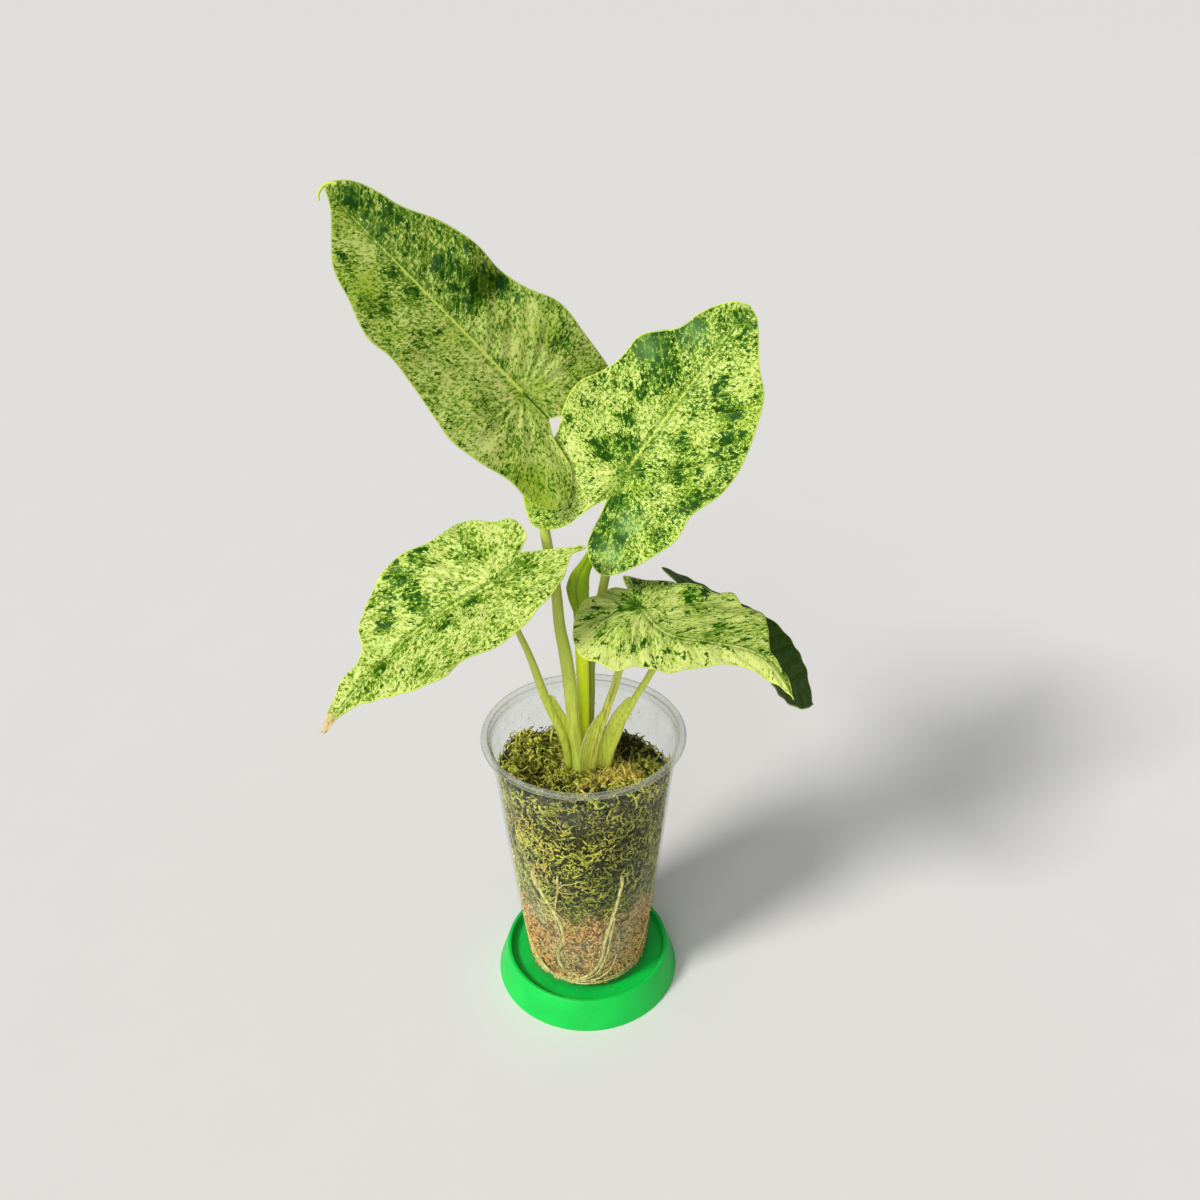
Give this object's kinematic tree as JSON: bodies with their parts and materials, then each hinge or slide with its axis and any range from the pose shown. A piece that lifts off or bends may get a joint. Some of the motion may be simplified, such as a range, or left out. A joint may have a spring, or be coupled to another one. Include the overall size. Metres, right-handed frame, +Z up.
{
  "type": "potted variegated batik alocasia",
  "caption": "Arrow-leaved house plant with green-flecked cream leaves on slender stalks, rooted in moss in a clear plastic cup on a bright green stand.",
  "frame": {"origin": "centre of the bottom of the bounding box, on the surface that the stand rests on", "axes": "+Z up, -Y towards the viewer of the front, +X to the viewer's right; the cup's axis stands 4.5 mm to the left of the origin and 13.2 mm behind it"},
  "size_m": [0.2096, 0.1214, 0.3883],
  "materials": {
    "stand": "smooth bright green moulded plastic, satin gloss",
    "cup": "thin clear plastic, hazy and scuffed",
    "aged_moss": "tangled tan and orange dead moss",
    "living_moss": "tangled olive green moss",
    "root": "pale yellow root",
    "variegated_leaf": "waxy leaf, cream and yellow-green with dark green flecks",
    "shaded_leaf": "waxy leaf, plain deep green",
    "petiole": "smooth waxy stalk, pale yellow-green",
    "young_leaf": "waxy rolled young leaf, olive green"
  },
  "bodies": {
    "root": {"green_stand": "stand", "clear_cup": "cup", "moss_lower": "aged_moss", "moss_upper": "living_moss", "corm_and_roots": "root", "blade_upper_left": "variegated_leaf", "petiole_upper_left": "petiole", "blade_upper_right": "variegated_leaf", "petiole_upper_right": "petiole", "blade_lower_left": "variegated_leaf", "petiole_lower_left": "petiole", "blade_lower_right": "variegated_leaf", "petiole_lower_right": "petiole", "blade_rear": "shaded_leaf", "petiole_rear": "petiole", "young_leaf": "young_leaf"}
  },
  "joints": []
}
